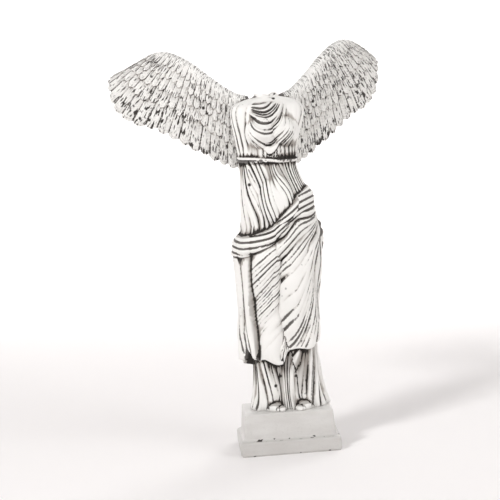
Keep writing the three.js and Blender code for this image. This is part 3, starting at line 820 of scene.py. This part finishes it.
def wash(tree):
    """How much wash lies in the bottoms of the grooves and beside them, and how much wash and painted shade
    lie in broad hollows and in deep ones.
    """
    fine, broad, deep, plumage = (attribute(tree, name) for name in ("fine", "broad", "deep", "plumage"))
    patch = (noise(tree, 55, 3) - 0.5) * 0.9
    grit = (noise(tree, 420) - 0.5) * 0.2
    up = height_up(tree)
    at_feet = up.near((PLINTH_TOP + 2) * MM, 9 * MM)
    # Painted shade and more wash, darker lower down the body.
    lower_wash_and_shade = up.between(170 * MM, 60 * MM)
    # Wash and painted shade in the deep hollows and over the lower body.
    hollow = (deep + patch + lower_wash_and_shade * 0.35).between(-0.4, 1.3)
    line = (fine + patch * 0.3 + grit + at_feet * 0.07 - plumage * 0.15).between(0.1, 0.2)
    beside = (fine - plumage * 0.08).between(0, 0.26)
    # Wash and painted shade in the broad hollows, less of it on the wings.
    shade = (broad + patch * 0.5 - plumage * 0.22).between(-0.05, 0.38)
    # The lines are drawn darker where the painted shade of the deep hollows lies.
    return line * (hollow * 0.4 + 0.8), beside, shade, hollow


def feather_ink(tree):
    """Dark lines in the gaps between the feathers, with short strokes and hairlines of wash along them."""
    place = attribute(tree, "feather")
    off_middle = (place - place.apply("ROUND")).apply("ABSOLUTE")
    gap = off_middle.near(0.5, 0.08) * noise(tree, 190).between(0.42, 0.56)
    crowded = (noise(tree, 45, 1) - 0.5) * 0.3
    stroke = (streaks(tree, 6.5, 9) + crowded).between(0.585, 0.615)
    hair = streaks(tree, 15, 4).between(0.5, 0.62) * 0.2
    return gap.or_more(stroke).or_more(hair) * attribute(tree, "plumage")


def specks(tree, scale, size):
    """Scattered small dots, most of them about the feet and the neck."""
    cells = tree.nodes.new("ShaderNodeTexVoronoi")
    cells.inputs["Scale"].default_value = scale
    tree.links.new(object_place(tree), cells.inputs["Vector"])
    dots = Signal(cells.outputs["Distance"]).between(size, size * 0.5)
    up = height_up(tree)
    feet = up.near((PLINTH_TOP + 12) * MM, 45 * MM)
    neck = up.near((PLINTH_TOP + FIGURE_HEIGHT) * MM, 25 * MM)
    return dots * (noise(tree, 40, 1) + feet.or_more(neck) * 0.19).between(0.64, 0.66)


def figure_material():
    """White resin under a dark wash that was wiped off all but the hollows, with painted shade in the broad
    and deep hollows.
    """
    material, tree, shader = new_material("antiqued_resin_and_painted_shade")
    line, beside, broad, deep = wash(tree)
    colour = blend(noise(tree, 25, 4).between(0.3, 0.7), WHITE_RESIN, WHITEST_RESIN)
    colour = blend(beside * 0.4, colour, THIN_WASH)
    # Broad wash with painted shade in the broad hollows.
    colour = blend(broad * 0.72, colour, BROAD_WASH_AND_SHADE)
    # Deep wash with painted shade in the deep hollows and lower down the body.
    colour = blend(deep * 0.6, colour, DEEP_WASH_AND_SHADE)
    colour = blend(line, colour, LINE_INK)
    colour = blend(feather_ink(tree), colour, WING_INK)
    colour = blend(specks(tree, 110, 0.19), colour, LINE_INK)
    tree.links.new(colour, shader.inputs["Base Color"])
    rough = line.apply("MINIMUM", 1) * 0.3 + 0.5
    tree.links.new(rough.socket, shader.inputs["Roughness"])
    return material


def plinth_material():
    """Smooth pale grey resin, greyer on the slab, with small dark chips along the step and lower edge."""
    material, tree, shader = new_material("plinth_resin")
    up = height_up(tree)
    on_edges = up.near(STEP_CHIPS * MM, 1.1 * MM).or_more(up.near(EDGE_CHIPS * MM, 1.4 * MM))
    chip = on_edges * noise(tree, 190).between(0.59, 0.64)
    colour = blend(noise(tree, 35, 4, (1, 1, 3)).between(0.3, 0.7), PLINTH_GREY, PLINTH_PALE)
    colour = blend(noise(tree, 600, 1).between(0.55, 0.8) * 0.15, colour, PLINTH_DUST)
    colour = blend(up.between((SLAB_TOP + 1) * MM, SLAB_TOP * MM) * 0.35, colour, SLAB_GREY)
    colour = blend(chip.between(0.25, 0.45), colour, CHIP_INK)
    tree.links.new(colour, shader.inputs["Base Color"])
    shader.inputs["Roughness"].default_value = 0.36
    return material


def lamp(name, place, watts, width, aim):
    """A square lamp that faces a point."""
    data = bpy.data.lights.new(name, "AREA")
    data.energy = watts
    data.size = width
    obj = bpy.data.objects.new(name, data)
    obj.location = place
    obj.rotation_euler = (Vector(aim) - Vector(place)).to_track_quat("-Z", "Y").to_euler()
    bpy.context.scene.collection.objects.link(obj)


def floor_mesh():
    """A floor that bends up into a wall all round, far from the object."""
    flat, bend, bends, around = FLOOR["flat"], FLOOR["bend"], 12, 96
    profile = [(0, 0), (flat, 0)]
    for step in range(1, bends + 1):
        a = math.radians(90 * step / bends)
        profile.append((flat + bend * math.sin(a), bend * (1 - math.cos(a))))
    profile.append((flat + bend, FLOOR["top"]))
    verts, faces = [], []
    for r, z in profile:
        for k in range(around):
            a = 2 * math.pi * k / around
            verts.append((r * math.cos(a), r * math.sin(a), z))
    for row in range(len(profile) - 1):
        low, high = row * around, (row + 1) * around
        for k in range(around):
            j = (k + 1) % around
            faces.append((low + k, low + j, high + j, high + k))
    mesh = bpy.data.meshes.new("floor")
    mesh.from_pydata(verts, [], faces)
    mesh.polygons.foreach_set("use_smooth", [True] * len(mesh.polygons))
    return mesh


def stage_floor():
    """The pale floor with its material, put into the scene."""
    mesh = floor_mesh()
    material, _, shader = new_material("pale_floor")
    shader.inputs["Base Color"].default_value = FLOOR["colour"]
    shader.inputs["Roughness"].default_value = 0.9
    mesh.materials.append(material)
    floor = bpy.data.objects.new("floor", mesh)
    bpy.context.scene.collection.objects.link(floor)


def studio_world():
    """Even pale light from all round."""
    world = bpy.data.worlds.new("studio")
    world.use_nodes = True
    background = world.node_tree.nodes["Background"]
    background.inputs["Color"].default_value = WORLD_COLOUR
    background.inputs["Strength"].default_value = WORLD_STRENGTH
    bpy.context.scene.world = world


def photo_camera():
    """A camera at the photograph's angle, tipped a little to one side as there."""
    camera = bpy.data.objects.new("camera", bpy.data.cameras.new("camera"))
    camera.data.lens = CAMERA["lens"]
    azimuth, elevation, roll = (math.radians(CAMERA[name]) for name in ("azimuth", "elevation", "roll"))
    back = Vector((math.sin(azimuth) * math.cos(elevation), -math.cos(azimuth) * math.cos(elevation),
                   math.sin(elevation)))
    camera.location = Vector(CAMERA["target"]) + back * CAMERA["distance"]
    turn = (-back).to_track_quat("-Z", "Y") @ Quaternion((0, 0, 1), -roll)
    camera.rotation_euler = turn.to_euler()
    bpy.context.scene.collection.objects.link(camera)
    bpy.context.scene.camera = camera


figure = carved_figure()
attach(figure, "root")
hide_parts("winged_figure")
figure.data.materials.clear()
figure.data.materials.append(figure_material())
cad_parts["stepped_plinth"].material_slots[0].material = plinth_material()

for name, (place, watts, width, aim) in LAMPS.items():
    lamp(name, place, watts, width, aim)
stage_floor()
studio_world()
photo_camera()
bpy.context.scene.view_settings.view_transform = "Standard"
